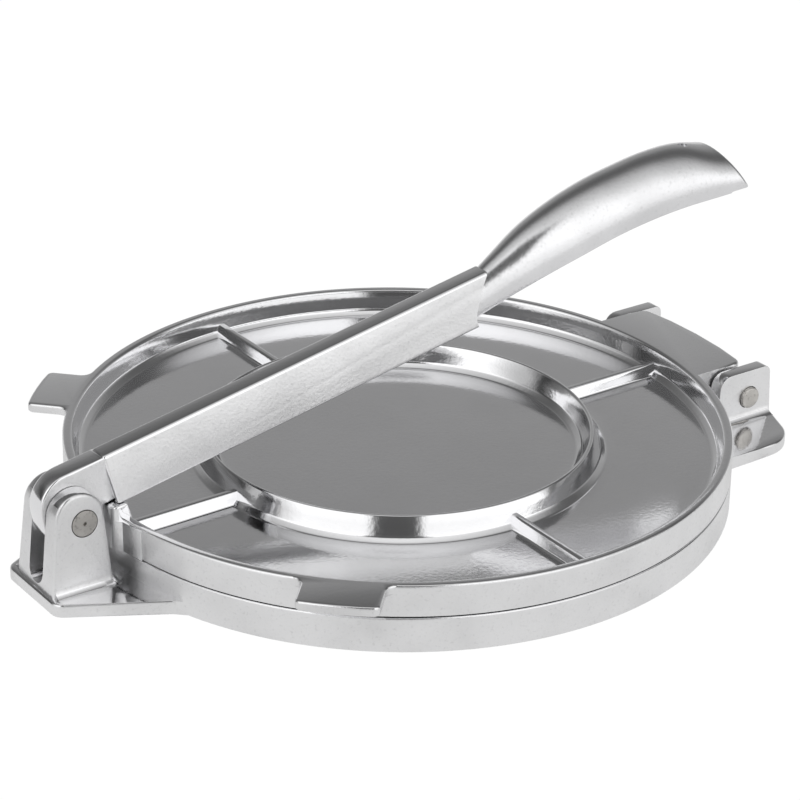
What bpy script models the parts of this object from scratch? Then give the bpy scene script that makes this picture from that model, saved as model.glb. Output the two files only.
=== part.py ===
"""Hand-operated tortilla press in cast aluminium: two round plates, a lever and three steel pins.

X runs from the lever's clevis (-X) to the plate hinge (+X), Z is up, and the origin is at the
middle of the bounding box's underside. The press is closed, with the lever's heel on the pad.
"""

import math

import bmesh
import bpy

MM = 0.001

# Plates
plate_radius = 101.5 * MM
base_height = 11.1 * MM
plate_gap = 0.3 * MM
top_height = 10.0 * MM
web = 2.1 * MM
lip_width = 2.9 * MM
edge_break = 0.5 * MM
wall_draft = 1.6 * MM
wall_fillet = 1.5 * MM
foot_rise = 1.4 * MM
foot_reach = 1.3 * MM
ring_share = 0.5478
ring_inner_radius = plate_radius * ring_share
ring_width = 6.6 * MM
ring_crest_width = 1.0 * MM
ring_edge = 0.5 * MM
ring_drop = 0.8 * MM
plate_steps = 72

# Ribs between the ring and the rim
rib_height = 3.7 * MM
rib_width = 5.0 * MM
rib_top_width = 2.0 * MM
rib_edge = 0.5 * MM
rib_fillet = 0.6 * MM
rib_x = -1.6 * MM
rib_y = -3.35 * MM
rib_turn = math.radians(0.7)

# Finger tabs on the top plate
tab_reach = 12.6 * MM
tab_thickness = 3.0 * MM
tab_width = 23.6 * MM
tab_corner = 2.0 * MM
tab_fillet = 3.0 * MM
front_tab_angle = math.radians(47.0)
rear_tab_angle = math.radians(45.0)

# Pad on the top plate, under the lever's heel
pad_width = 14.6 * MM
pad_reach = 2.5 * MM
pad_inner_reach = 2.4 * MM
pad_foot_inset = 5.0 * MM
pad_foot_rise = 5.8 * MM
pad_fillet = 9.0 * MM
pad_gap = 0.3 * MM

# Clevis on the base, on the lever's line
lever_line = -1.25 * MM
clevis_overhang = 25.8 * MM
clevis_reach = plate_radius + clevis_overhang
clevis_flange_height = 4.2 * MM
clevis_flange_width = 28.0 * MM
clevis_flange_root = 59.4 * MM
clevis_root_inset = 3.2 * MM
clevis_flange_root_reach = plate_radius - clevis_root_inset
clevis_flange_spread = 70.4 * MM
clevis_flange_corner = 4.0 * MM
clevis_width = 22.0 * MM
clevis_draft = 1.3 * MM
clevis_toe = 1.2 * MM
clevis_clearance = 4.5 * MM
clevis_foot_length = clevis_overhang - clevis_toe - clevis_clearance
clevis_arch_radius = 7.8 * MM
clevis_arch_height = 26.3 * MM
clevis_end_lean = 2.4 * MM
slot_width = 7.8 * MM
slot_floor = 5.0 * MM
foot_fillet = 3.0 * MM
ear_edge = 0.8 * MM

# Lever pin
pin_setback = 1.3 * MM
arch_reach = clevis_reach - clevis_toe - clevis_end_lean - clevis_arch_radius
lever_pivot_reach = arch_reach - pin_setback
lever_pivot_height = 24.8 * MM
lever_pin_radius = 4.0 * MM
pin_proud = 0.2 * MM
pin_clearance = 0.2 * MM
pin_edge = 0.5 * MM

# Lever
lever_tilt = math.radians(10.8)
knuckle_radius = 9.9 * MM
knuckle_clearance = 0.3 * MM
bar_start = 12.6 * MM
bar_bottom = 1.5 * MM
bar_height = 14.7 * MM
bar_top_width = 6.8 * MM
bar_end_top_width = 6.2 * MM
bar_bottom_width = 13.6 * MM
bar_length = 136.4 * MM
bar_end_slant = 11.5 * MM
bar_edge = 0.7 * MM
bar_wall = 2.2 * MM
heel_length = 12.0 * MM

# Grip
grip_overlap = 9.0 * MM
grip_start = bar_start + bar_length - grip_overlap
grip_length = 103.5 * MM
grip_crown = 25.3 * MM
grip_rim = 10.1 * MM
grip_width = 26.0 * MM
grip_wall = 2.4 * MM
grip_end_lean = 4.8 * MM
hang_hole_radius = 1.5 * MM
hang_hole_inset = 14.9 * MM
grip_crown_shares = (0.376, 0.593, 0.798, 0.921, 0.985, 1.0, 0.983, 0.905, 0.728)
grip_rim_shares = (0.08, 0.426, 0.713, 0.881, 1.0, 0.99, 0.90, 0.723, 0.535)
grip_width_shares = (0.477, 0.646, 0.785, 0.869, 0.923, 0.938, 0.962, 0.985, 1.0)
grip_arc_points = 12

# Plate hinge
hinge_overhang = 23.2 * MM
hinge_reach = plate_radius + hinge_overhang
hinge_flange_width = 97.4 * MM
hinge_flange_corner = 13.0 * MM
hinge_flange_taper = 7.1 * MM
hinge_flange_height = 4.0 * MM
hinge_axis_overhang = 13.5 * MM
hinge_axis_reach = plate_radius + hinge_axis_overhang
hinge_axis_height = 11.3 * MM
hinge_pin_radius = 3.5 * MM
hinge_pin_proud = 1.2 * MM
hinge_pin_depth = 12.0 * MM
leaf_width = 49.0 * MM
leaf_overhang = 16.5 * MM
leaf_reach = plate_radius + leaf_overhang
leaf_bow = 2.1 * MM
leaf_corner = 3.5 * MM
leaf_side_gap = 0.7 * MM
barrel_wall = 2.8 * MM
ear_thickness = 4.5 * MM
ear_top = 20.5 * MM
ear_front_overhang = 1.5 * MM
ear_front_reach = plate_radius + ear_front_overhang
ear_back_inset = 1.4 * MM
ear_back_reach = hinge_reach - ear_back_inset
ear_corner = 2.4 * MM
ear_front_corner = 4.5 * MM
ear_root_drop = 1.2 * MM
ear_root_lean = 3.0 * MM

# Shared by every cut and every joined root
overrun = 1.0 * MM
root = 1.5 * MM
hole_steps = 24

parts = bpy.data.collections.new("tortilla_press")
cutters = bpy.data.collections.new("cutters")


def clear_scene():
    for thing in list(bpy.data.objects):
        bpy.data.objects.remove(thing, do_unlink=True)
    for collection in (parts, cutters):
        bpy.context.scene.collection.children.link(collection)


def material(name, colour, roughness):
    made = bpy.data.materials.new(name)
    made.use_nodes = True
    shader = made.node_tree.nodes["Principled BSDF"]
    shader.inputs["Base Color"].default_value = (*colour, 1.0)
    shader.inputs["Metallic"].default_value = 1.0
    shader.inputs["Roughness"].default_value = roughness
    return made


def place(thing, parent, collection):
    collection.objects.link(thing)
    thing.parent = parent
    if collection is cutters:
        thing.hide_render = True
        thing.display_type = "WIRE"
    return thing


def empty(name, location, parent=None):
    thing = bpy.data.objects.new(name, None)
    thing.location = location
    thing.empty_display_size = plate_radius / 10
    parts.objects.link(thing)
    thing.parent = parent
    return thing


def rounded(corners, steps=4):
    """An outline of (x, y, radius) corners as plain points, each corner rounded by its radius."""
    points = []
    for index, (x, y, radius) in enumerate(corners):
        if radius == 0:
            points.append((x, y))
            continue
        before = corners[index - 1]
        after = corners[(index + 1) % len(corners)]
        start = math.atan2(before[1] - y, before[0] - x)
        end = math.atan2(after[1] - y, after[0] - x)
        half = ((end - start + math.pi) % (2 * math.pi) - math.pi) / 2
        middle = start + half
        away = radius / abs(math.sin(half))
        centre = (x + away * math.cos(middle), y + away * math.sin(middle))
        sweep = math.copysign(math.pi / 2 - abs(half), half)
        for step in range(steps + 1):
            angle = middle + math.pi + sweep * (1 - 2 * step / steps)
            points.append((centre[0] + radius * math.cos(angle), centre[1] + radius * math.sin(angle)))
    return points


def arc(centre, radius, start, end, steps):
    """Points along a circle from one angle to another, both included."""
    angles = [start + (end - start) * step / steps for step in range(steps + 1)]
    return [(centre[0] + radius * math.cos(a), centre[1] + radius * math.sin(a)) for a in angles]


# How an outline's own x, y and extrusion lie in the press: flat, upright along X, or across X
LAYS = {
    "plan": (0.0, 0.0, 0.0),
    "side": (math.pi / 2, 0.0, 0.0),
    "section": (math.pi / 2, 0.0, math.pi / 2),
}


def slab(name, outline, low, high, lay, parent, collection=None, bevel=0.0):
    """A flat outline extruded from low to high along the direction that it doesn't lie in."""
    curve = bpy.data.curves.new(name, "CURVE")
    curve.dimensions = "2D"
    curve.fill_mode = "BOTH"
    curve.extrude = abs(high - low) / 2
    spline = curve.splines.new("POLY")
    spline.points.add(len(outline) - 1)
    for point, (x, y) in zip(spline.points, outline):
        point.co = (x, y, 0.0, 1.0)
    spline.use_cyclic_u = True
    guide = bpy.data.objects.new(name + "_outline", curve)
    parts.objects.link(guide)
    bpy.context.view_layer.update()
    graph = bpy.context.evaluated_depsgraph_get()
    mesh = bpy.data.meshes.new_from_object(guide.evaluated_get(graph))
    bpy.data.objects.remove(guide, do_unlink=True)
    work = bmesh.new()
    work.from_mesh(mesh)
    bmesh.ops.remove_doubles(work, verts=work.verts, dist=edge_break / 1000)
    bmesh.ops.recalc_face_normals(work, faces=work.faces)
    ends = (-high, -low) if lay == "side" else (low, high)
    for vertex in work.verts:
        vertex.co.z = ends[vertex.co.z > 0]
    work.to_mesh(mesh)
    work.free()
    thing = place(bpy.data.objects.new(name, mesh), parent, collection or cutters)
    thing.rotation_euler = LAYS[lay]
    if bevel:
        soften(thing, bevel)
    return thing


def soften(thing, width):
    bevel = thing.modifiers.new("edges", "BEVEL")
    bevel.width = width
    bevel.segments = 2
    bevel.limit_method = "ANGLE"
    bevel.angle_limit = math.radians(50)


def rod(name, radius, low, high, centre, parent, collection=None):
    """A cylinder along Y between two places, with its axis at centre (x, z)."""
    bpy.ops.mesh.primitive_cylinder_add(vertices=hole_steps, radius=radius, depth=high - low)
    thing = bpy.context.object
    thing.name = name
    thing.data.name = name
    for owner in list(thing.users_collection):
        owner.objects.unlink(thing)
    place(thing, parent, collection or cutters)
    thing.rotation_euler = (math.pi / 2, 0.0, 0.0)
    thing.location = (centre[0], (low + high) / 2, centre[1])
    return thing


def combine(target, tool, operation):
    boolean = target.modifiers.new(tool.name, "BOOLEAN")
    boolean.operation = operation
    boolean.solver = "EXACT"
    boolean.object = tool


def turned(name, profile, parent):
    mesh = bpy.data.meshes.new(name)
    points = [(radius, 0.0, z) for radius, z in profile]
    mesh.from_pydata(points, [(i, i + 1) for i in range(len(points) - 1)], [])
    thing = place(bpy.data.objects.new(name, mesh), parent, parts)
    screw = thing.modifiers.new("turn", "SCREW")
    screw.steps = plate_steps
    screw.render_steps = plate_steps
    screw.use_merge_vertices = True
    screw.merge_threshold = edge_break / 50
    return thing


def dish(face, rim):
    """A plate's turned profile, from the axis on its hollow side out over the rim to the axis again."""
    up = math.copysign(1.0, rim - face)
    floor = face + up * web
    lip_inner = plate_radius - lip_width
    crest = rim - up * ring_drop
    ring_outer = ring_inner_radius + ring_width
    run = (ring_width - ring_crest_width) / 2
    toe = floor + up * foot_rise
    climb = foot_rise / abs(crest - floor)
    corners = [
        (0.0, floor, 0),
        (ring_inner_radius - foot_reach, floor, wall_fillet),
        (ring_inner_radius + run * climb, toe, 0),
        (ring_inner_radius + run, crest, ring_edge),
        (ring_outer - run, crest, ring_edge),
        (ring_outer - run * climb, toe, 0),
        (ring_outer + foot_reach, floor, wall_fillet),
        (lip_inner - wall_draft - foot_reach, floor, wall_fillet),
        (lip_inner - wall_draft * (1 - climb), toe, 0),
        (lip_inner, rim - up * edge_break, 0),
        (lip_inner + edge_break, rim, 0),
        (plate_radius - edge_break, rim, 0),
        (plate_radius, rim - up * edge_break, 0),
        (plate_radius, face + up * edge_break, 0),
        (plate_radius - edge_break, face, 0),
        (0.0, face, 0),
    ]
    return rounded(corners, 3)


def ribs(plate, face, rim, parent):
    up = math.copysign(1.0, rim - face)
    floor = face + up * web
    low = floor - up * web / 2
    high = floor + up * rib_height
    half = [(rib_width / 2 + rib_fillet, low), (rib_width / 2 + rib_fillet, floor)]
    half += [(rib_width / 2, floor + up * rib_fillet)]
    half += [(rib_top_width / 2, high - up * rib_edge), (rib_top_width / 2 - rib_edge, high)]
    section = half + [(-y, z) for y, z in half[::-1]]
    inner = ring_inner_radius + ring_width / 2
    outer = plate_radius - lip_width / 2
    for quarter in range(4):
        turn = quarter * math.pi / 2 + rib_turn
        offset = rib_x * math.cos(turn) + rib_y * math.sin(turn)
        name = f"{plate.name}_rib_{quarter}"
        rib = slab(name, section, inner - offset, outer - offset, "section", parent)
        rib.rotation_euler.z += turn
        rib.location = (rib_x, rib_y, 0.0)
        combine(plate, rib, "UNION")


def foot(name, side, face_y, low, high, top, parent):
    """The concave fillet between an upright face at face_y and a flange's top."""
    section = [(face_y - side * root, top - root), (face_y + side * foot_fillet, top - root)]
    centre = (face_y + side * foot_fillet, top + foot_fillet)
    start = -math.pi / 2
    section += arc(centre, foot_fillet, start, start - side * math.pi / 2, 3)
    section.append((face_y - side * root, top + foot_fillet))
    return slab(name, section, low, high, "section", parent)


def make_base(parent):
    base = turned("base_plate", dish(base_height, 0.0)[::-1], parent)
    ribs(base, base_height, 0.0, parent)
    inside = plate_radius - lip_width / 2

    spread = math.asin(clevis_flange_spread / 2 / inside)
    flange = [
        (-clevis_flange_root_reach, lever_line + clevis_flange_root / 2, 0),
        (-clevis_reach, lever_line + clevis_flange_width / 2, clevis_flange_corner),
        (-clevis_reach, lever_line - clevis_flange_width / 2, clevis_flange_corner),
        (-clevis_flange_root_reach, lever_line - clevis_flange_root / 2, 0),
    ]
    outline = rounded(flange) + arc((0, 0), inside, math.pi + spread, math.pi - spread, 9)
    combine(base, slab("clevis_flange", outline, 0.0, clevis_flange_height, "plan", parent), "UNION")

    end = -clevis_reach + clevis_toe
    arch_left = end + clevis_end_lean
    arch_centre = (arch_left + clevis_arch_radius, clevis_arch_height)
    block = [(end, clevis_flange_height / 2)]
    block += arc(arch_centre, clevis_arch_radius, math.pi, 0.0, 12)
    block.append((end + clevis_foot_length, clevis_flange_height / 2))
    half = clevis_width / 2
    clevis = slab("clevis_block", block, lever_line - half, lever_line + half, "side", parent)
    for vertex in clevis.data.vertices:
        draft = clevis_draft * vertex.co.y / clevis_arch_height
        vertex.co.z -= math.copysign(draft, vertex.co.z + lever_line)
    soften(clevis, ear_edge)
    combine(base, clevis, "UNION")
    for side in (-1, 1):
        low = end + edge_break
        high = end + clevis_foot_length - edge_break
        face = lever_line + side * half
        fillet = foot(f"clevis_foot_{side}", side, face, low, high, clevis_flange_height, parent)
        combine(base, fillet, "UNION")

    reach = slot_width / 2
    top = clevis_arch_height + clevis_arch_radius + overrun
    slot = arc((lever_line, slot_floor + reach), reach, math.pi, 2 * math.pi, 8)
    slot += [(lever_line + reach, top), (lever_line - reach, top)]
    low = end - overrun
    high = end + clevis_foot_length + overrun
    combine(base, slab("clevis_slot", slot, low, high, "section", parent), "DIFFERENCE")
    bore = lever_pin_radius + pin_clearance
    axis = (-lever_pivot_reach, lever_pivot_height)
    low = lever_line - half - overrun
    cut = rod("lever_pin_bore", bore, low, lever_line + half + overrun, axis, parent)
    combine(base, cut, "DIFFERENCE")

    spread = math.asin(hinge_flange_width / 2 / inside)
    inner = leaf_width / 2 + leaf_side_gap
    outer = inner + ear_thickness
    corner_reach = hinge_reach - hinge_flange_taper
    ends = inside * math.cos(spread)
    flange = [
        (ends, -hinge_flange_width / 2, 0),
        (corner_reach, -hinge_flange_width / 2, hinge_flange_corner),
        (hinge_reach, -outer, 0),
        (hinge_reach, outer, 0),
        (corner_reach, hinge_flange_width / 2, hinge_flange_corner),
        (ends, hinge_flange_width / 2, 0),
    ]
    outline = rounded(flange, 6) + arc((0, 0), inside, spread, -spread, 13)[1:-1]
    combine(base, slab("hinge_flange", outline, 0.0, hinge_flange_height, "plan", parent), "UNION")

    join = math.sqrt(inside**2 - outer**2) - root
    joint_top = base_height - ear_root_drop
    ear = [
        (join, hinge_flange_height / 2, 0),
        (hinge_reach - edge_break, hinge_flange_height / 2, 0),
        (hinge_reach - edge_break, hinge_flange_height, 0),
        (ear_back_reach, ear_top, ear_corner),
        (ear_front_reach, ear_top, ear_front_corner),
        (ear_front_reach, joint_top + ear_root_lean, 0),
        (ear_front_reach - ear_root_lean, joint_top, 0),
        (join, joint_top, 0),
    ]
    for side in (-1, 1):
        low, high = sorted((side * inner, side * outer))
        plate = slab(f"ear_{side}", rounded(ear), low, high, "side", parent)
        combine(base, plate, "UNION")
        fillet = foot(
            f"ear_foot_{side}", side, side * outer, join + root, ear_back_reach, hinge_flange_height, parent
        )
        combine(base, fillet, "UNION")
    bore = hinge_pin_radius + pin_clearance
    axis = (hinge_axis_reach, hinge_axis_height)
    cut = rod("hinge_bore_base", bore, -outer - overrun, outer + overrun, axis, parent)
    combine(base, cut, "DIFFERENCE")
    return base


def tab(name, turn, top, parent):
    """A finger tab whose outline is drawn about -X and then turned to its place."""
    half = tab_width / 2
    reach = plate_radius + tab_reach
    inside = plate_radius - lip_width / 2
    wide = half + tab_fillet
    side_reach = math.sqrt(plate_radius**2 - wide**2)
    bend = (half, side_reach + tab_fillet)
    edge = [(-side_reach, wide)]
    edge += [(-bend[1], half)]
    end_x = math.sqrt(reach**2 - half**2)
    corner = rounded([(-bend[1], half, 0), (-end_x, half, tab_corner), (-reach, 0.0, 0)], 3)[1:-1]
    edge += corner
    edge.append((-reach, 0.0))
    mirrored = [(x, -y) for x, y in edge[::-1][1:]]
    spread = math.asin(wide / inside)
    outline = edge + mirrored + arc((0, 0), inside, math.pi + spread, math.pi - spread, 7)
    made = slab(name, outline, top - tab_thickness, top, "plan", parent)
    made.rotation_euler.z = turn
    return made


def make_top(hinge, parent):
    face = base_height + plate_gap
    rim = face + top_height
    shift = (-hinge_axis_reach, 0.0, -hinge_axis_height)
    frame = empty("top_plate_frame", shift, hinge)
    top = turned("top_plate", dish(face, rim), frame)
    ribs(top, face, rim, frame)
    combine(top, tab("front_tab", front_tab_angle, rim, frame), "UNION")
    combine(top, tab("rear_tab", -rear_tab_angle, rim, frame), "UNION")

    inside = plate_radius - lip_width / 2
    half = pad_width / 2
    wide = half + pad_fillet
    wall = math.sqrt(plate_radius**2 - wide**2)
    pad_end = plate_radius + pad_reach
    side_wall = math.sqrt(plate_radius**2 - half**2)
    bulge = [(-wall, wide), (-(wall + side_wall) / 2 - edge_break, half + pad_fillet * 0.42)]
    bulge += [(-side_wall - edge_break, half + pad_fillet * 0.12)]
    bulge += [(edge_break - pad_end, half - edge_break)]
    spread = math.asin(wide / inside)
    outline = bulge + [(x, -y) for x, y in bulge[::-1]]
    outline = [(x, y + lever_line) for x, y in outline]
    outline += arc((0, 0), inside, math.pi + spread, math.pi - spread, 7)
    combine(top, slab("pad_root", outline, face, rim - edge_break, "plan", frame), "UNION")

    # The pad's top is parallel to the bar's underside, one gap below it
    def pad_top(x):
        along = x + lever_pivot_reach
        drop = (bar_bottom + pad_gap) / math.cos(lever_tilt)
        return lever_pivot_height + along * math.tan(lever_tilt) - drop

    inner_top = -plate_radius + pad_inner_reach
    inner_foot = -plate_radius + pad_foot_inset
    block = [
        (-pad_end, face + edge_break),
        (inner_top, face + edge_break),
        (inner_foot, face + web),
        (inner_foot, face + pad_foot_rise),
        (inner_top, pad_top(inner_top)),
        (-pad_end, pad_top(-pad_end)),
    ]
    low = lever_line - half
    combine(top, slab("pad", block, low, lever_line + half, "side", frame, bevel=edge_break), "UNION")

    half = leaf_width / 2
    spread = math.asin(half / inside)
    leaf = [
        (inside * math.cos(spread), -half, 0),
        (leaf_reach - leaf_bow, -half, leaf_corner),
        (leaf_reach, 0.0, 0),
        (leaf_reach - leaf_bow, half, leaf_corner),
        (inside * math.cos(spread), half, 0),
    ]
    outline = rounded(leaf) + arc((0, 0), inside, spread, -spread, 9)[1:-1]
    combine(top, slab("leaf", outline, face, rim, "plan", frame), "UNION")
    barrel = hinge_pin_radius + barrel_wall
    axis = (hinge_axis_reach, hinge_axis_height)
    combine(top, rod("leaf_barrel", barrel, -half, half, axis, frame), "UNION")
    bore = hinge_pin_radius + pin_clearance
    depth = half - hinge_pin_depth - overrun
    for side in (-1, 1):
        low, high = sorted((side * depth, side * (half + overrun)))
        combine(top, rod(f"leaf_bore_{side}", bore, low, high, axis, frame), "DIFFERENCE")
    return top


def bar_section(inset):
    low = -bar_bottom - (overrun if inset else 0.0)
    high = bar_height - bar_bottom - inset
    top = bar_top_width / 2 - inset
    bottom = bar_bottom_width / 2 - inset
    return [(-bottom, low), (bottom, low), (top, high), (-top, high)]


def make_grip(parent):
    """The grip's outer skin, a loft of half-round sections, thickened inward."""
    stations = len(grip_crown_shares)
    mesh = bpy.data.meshes.new("grip_shell")
    work = bmesh.new()
    rows = []
    for index in range(stations):
        share = index / (stations - 1)
        rim = grip_rim * grip_rim_shares[index]
        rise = grip_crown * grip_crown_shares[index] - rim
        half = grip_width / 2 * grip_width_shares[index]
        row = []
        for step in range(grip_arc_points + 1):
            angle = math.pi * step / grip_arc_points
            lift = math.sin(angle)
            along = grip_start + grip_length * share - grip_end_lean * share**3 * lift
            row.append(work.verts.new((along, half * math.cos(angle), rim + rise * lift)))
        rows.append(row)
    for first, second in zip(rows, rows[1:]):
        for step in range(grip_arc_points):
            work.faces.new((first[step], first[step + 1], second[step + 1], second[step]))
    work.to_mesh(mesh)
    work.free()
    shell = place(bpy.data.objects.new("grip_shell", mesh), parent, cutters)
    solid = shell.modifiers.new("wall", "SOLIDIFY")
    solid.thickness = grip_wall
    solid.offset = -1
    solid.use_even_offset = True
    return shell


def make_lever(pivot):
    thickness = slot_width - 2 * knuckle_clearance
    top = bar_height - bar_bottom
    steps = 10
    inner = math.sqrt(knuckle_radius**2 - bar_bottom**2)
    under = math.atan2(-bar_bottom, inner)
    outline = arc((0.0, top - knuckle_radius), knuckle_radius, math.pi / 2, math.pi, steps // 2)
    outline += arc((0.0, 0.0), knuckle_radius, math.pi, 2 * math.pi + under, steps)
    neck = bar_start + root
    outline += [(bar_start, -bar_bottom), (neck, root - bar_bottom), (neck, top - root), (bar_start, top)]
    lever = slab("lever", outline, -thickness / 2, thickness / 2, "side", None, parts, bar_edge)
    lever.data.transform(lever.rotation_euler.to_matrix().to_4x4())
    lever.rotation_euler = (0.0, 0.0, 0.0)
    lever.parent = pivot

    finish = bar_start + bar_length
    bar = slab("lever_bar", bar_section(0.0), bar_start, finish, "section", pivot)
    narrow = bar_end_top_width / bar_top_width
    for vertex in bar.data.vertices:
        if vertex.co.y > 0 and vertex.co.z > bar_length:
            vertex.co.x *= narrow
    soften(bar, bar_edge)
    hollow = slab("bar_hollow", bar_section(bar_wall), bar_start + heel_length, finish + overrun, "section", pivot)
    slant = [
        (finish, top + overrun),
        (finish, top),
        (finish - bar_end_slant, -bar_bottom),
        (finish - bar_end_slant, -bar_bottom - overrun),
        (finish + overrun, -bar_bottom - overrun),
        (finish + overrun, top + overrun),
    ]
    trim = slab("bar_end_trim", slant, -bar_bottom_width, bar_bottom_width, "side", pivot)
    combine(bar, hollow, "DIFFERENCE")
    combine(bar, trim, "DIFFERENCE")
    combine(lever, bar, "UNION")

    grip = make_grip(pivot)
    place_along = grip_start + grip_length - hang_hole_inset
    bpy.ops.mesh.primitive_cylinder_add(vertices=16, radius=hang_hole_radius, depth=grip_crown)
    hole = bpy.context.object
    hole.name = "hang_hole"
    for owner in list(hole.users_collection):
        owner.objects.unlink(hole)
    place(hole, pivot, cutters)
    hole.location = (place_along, 0.0, grip_crown)
    combine(grip, hole, "DIFFERENCE")
    combine(lever, grip, "UNION")

    bore = lever_pin_radius + pin_clearance
    wide = thickness / 2 + overrun
    combine(lever, rod("knuckle_bore", bore, -wide, wide, (0.0, 0.0), pivot), "DIFFERENCE")
    return lever


def make_pins(press):
    draft = clevis_draft * lever_pivot_height / clevis_arch_height
    half = clevis_width / 2 - draft + pin_proud
    axis = (-lever_pivot_reach, lever_pivot_height)
    low = lever_line - half
    made = [rod("lever_pin", lever_pin_radius, low, lever_line + half, axis, press, parts)]
    outer = leaf_width / 2 + leaf_side_gap + ear_thickness + hinge_pin_proud
    inner = leaf_width / 2 - hinge_pin_depth
    axis = (hinge_axis_reach, hinge_axis_height)
    for side, name in ((-1, "hinge_pin_right"), (1, "hinge_pin_left")):
        low, high = sorted((side * inner, side * outer))
        made.append(rod(name, hinge_pin_radius, low, high, axis, press, parts))
    for pin in made:
        soften(pin, pin_edge)
    return made


def main():
    clear_scene()
    middle = (clevis_reach - hinge_reach) / 2
    press = empty("press_frame", (middle, 0.0, 0.0))
    hinge = empty("plate_hinge_axis", (hinge_axis_reach, 0.0, hinge_axis_height), press)
    pivot = empty("lever_pivot_axis", (-lever_pivot_reach, lever_line, lever_pivot_height), press)
    pivot.rotation_euler = (0.0, -lever_tilt, 0.0)
    looks = {
        make_base(press): material("base_aluminium", (0.78, 0.78, 0.79), 0.24),
        make_top(hinge, press): material("top_aluminium", (0.80, 0.80, 0.81), 0.22),
        make_lever(pivot): material("lever_aluminium", (0.80, 0.80, 0.81), 0.20),
    }
    for pin in make_pins(press):
        looks[pin] = material(pin.name + "_steel", (0.60, 0.58, 0.55), 0.42)
    for thing, look in looks.items():
        thing.data.materials.clear()
        thing.data.materials.append(look)
        thing.data.shade_smooth()
        thing.data.set_sharp_from_angle(angle=math.radians(35))


main()
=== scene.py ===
# %% [markdown]
# # A tortilla press in cast aluminium
# Two round plates are hinged together and pressed by a lever. Every casting is modelled again
# here with the soft corners, fillets and finish of the real metal, in the place that the CAD
# frame gives it. All sizes are in metres, and MM turns millimetres into them.

import math

import bpy
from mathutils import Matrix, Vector


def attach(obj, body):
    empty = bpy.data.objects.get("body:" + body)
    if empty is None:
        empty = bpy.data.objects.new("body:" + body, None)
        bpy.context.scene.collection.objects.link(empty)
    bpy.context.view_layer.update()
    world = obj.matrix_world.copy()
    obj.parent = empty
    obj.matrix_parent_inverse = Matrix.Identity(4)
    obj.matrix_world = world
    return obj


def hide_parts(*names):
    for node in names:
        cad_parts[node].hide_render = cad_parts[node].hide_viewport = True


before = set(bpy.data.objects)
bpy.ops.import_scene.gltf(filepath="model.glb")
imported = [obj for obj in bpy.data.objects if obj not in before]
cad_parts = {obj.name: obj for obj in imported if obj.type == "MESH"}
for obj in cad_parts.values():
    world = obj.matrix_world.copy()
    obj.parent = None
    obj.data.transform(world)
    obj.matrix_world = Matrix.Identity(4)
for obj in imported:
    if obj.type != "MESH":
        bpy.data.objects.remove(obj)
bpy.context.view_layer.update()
MM = 0.001

# %% [markdown]
# ## Working as by hand
# A profile is drawn by extruding one vertex from point to point. A prism is a drawn outline that
# is filled and extruded, and a casting is the union of its prisms. Coordinates are rounded to a
# micrometre, so that faces meant to be flush are exactly flush when the union is made.

# %% Selecting and drawing
MICROMETRE_PLACES = 6


def activate(thing):
    """Makes one object the only selected one, in object mode."""
    if bpy.context.mode != "OBJECT":
        bpy.ops.object.mode_set(mode="OBJECT")
    bpy.ops.object.select_all(action="DESELECT")
    if thing:
        bpy.context.view_layer.objects.active = thing
        thing.select_set(True)
    return thing


def settle(thing):
    """Rounds a mesh's coordinates to a micrometre."""
    activate(thing)
    for vertex in thing.data.vertices:
        vertex.co = [round(value, MICROMETRE_PLACES) for value in vertex.co]
    return thing


def draw(name, points):
    """A chain of edges, made by extruding one vertex from point to point."""
    activate(None)
    bpy.ops.mesh.primitive_plane_add(size=MM)
    thing = bpy.context.object
    thing.name = thing.data.name = name
    bpy.ops.object.mode_set(mode="EDIT")
    bpy.ops.mesh.select_mode(type="VERT")
    bpy.ops.mesh.select_all(action="SELECT")
    bpy.ops.mesh.merge(type="CENTER")
    bpy.ops.transform.translate(value=points[0])
    for before, after in zip(points, points[1:]):
        step = Vector(after) - Vector(before)
        bpy.ops.mesh.extrude_region_move(TRANSFORM_OT_translate={"value": step})
    bpy.ops.mesh.select_all(action="SELECT")
    return thing


LAYS = {
    "plan": lambda x, y, t: (x, y, t),
    "side": lambda x, y, t: (x, t, y),
    "section": lambda x, y, t: (t, x, y),
}


def prism(name, outline, low, high, lay):
    """An outline filled and extruded up (plan), along Y (side) or along X (section)."""
    thing = draw(name, [LAYS[lay](x, y, low) for x, y in outline])
    bpy.ops.mesh.edge_face_add()
    rise = Vector(LAYS[lay](0.0, 0.0, high - low))
    bpy.ops.mesh.extrude_region_move(TRANSFORM_OT_translate={"value": rise})
    bpy.ops.mesh.select_all(action="SELECT")
    bpy.ops.mesh.normals_make_consistent(inside=False)
    return settle(thing)


# %% Rounded outlines
def arc(centre, radius, start, end, steps):
    """Points along a circle from one angle to another, both included."""
    angles = [start + (end - start) * step / steps for step in range(steps + 1)]
    return [(centre[0] + radius * math.cos(a), centre[1] + radius * math.sin(a)) for a in angles]


def rounded(corners, steps=6, closed=True):
    """(x, y, radius) corners as plain points, each corner rounded by its radius."""
    points = []
    for index, (x, y, radius) in enumerate(corners):
        end = index in (0, len(corners) - 1) and not closed
        if radius == 0 or end:
            points.append((x, y))
            continue
        before = corners[index - 1]
        after = corners[(index + 1) % len(corners)]
        start = math.atan2(before[1] - y, before[0] - x)
        finish = math.atan2(after[1] - y, after[0] - x)
        half = ((finish - start + math.pi) % (2 * math.pi) - math.pi) / 2
        middle = start + half
        away = radius / abs(math.sin(half))
        centre = (x + away * math.cos(middle), y + away * math.sin(middle))
        sweep = math.copysign(math.pi / 2 - abs(half), half)
        points += arc(centre, radius, middle + math.pi + sweep, middle + math.pi - sweep, steps)
    return points


# %% Bevels and unions
SHARP = 35


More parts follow.
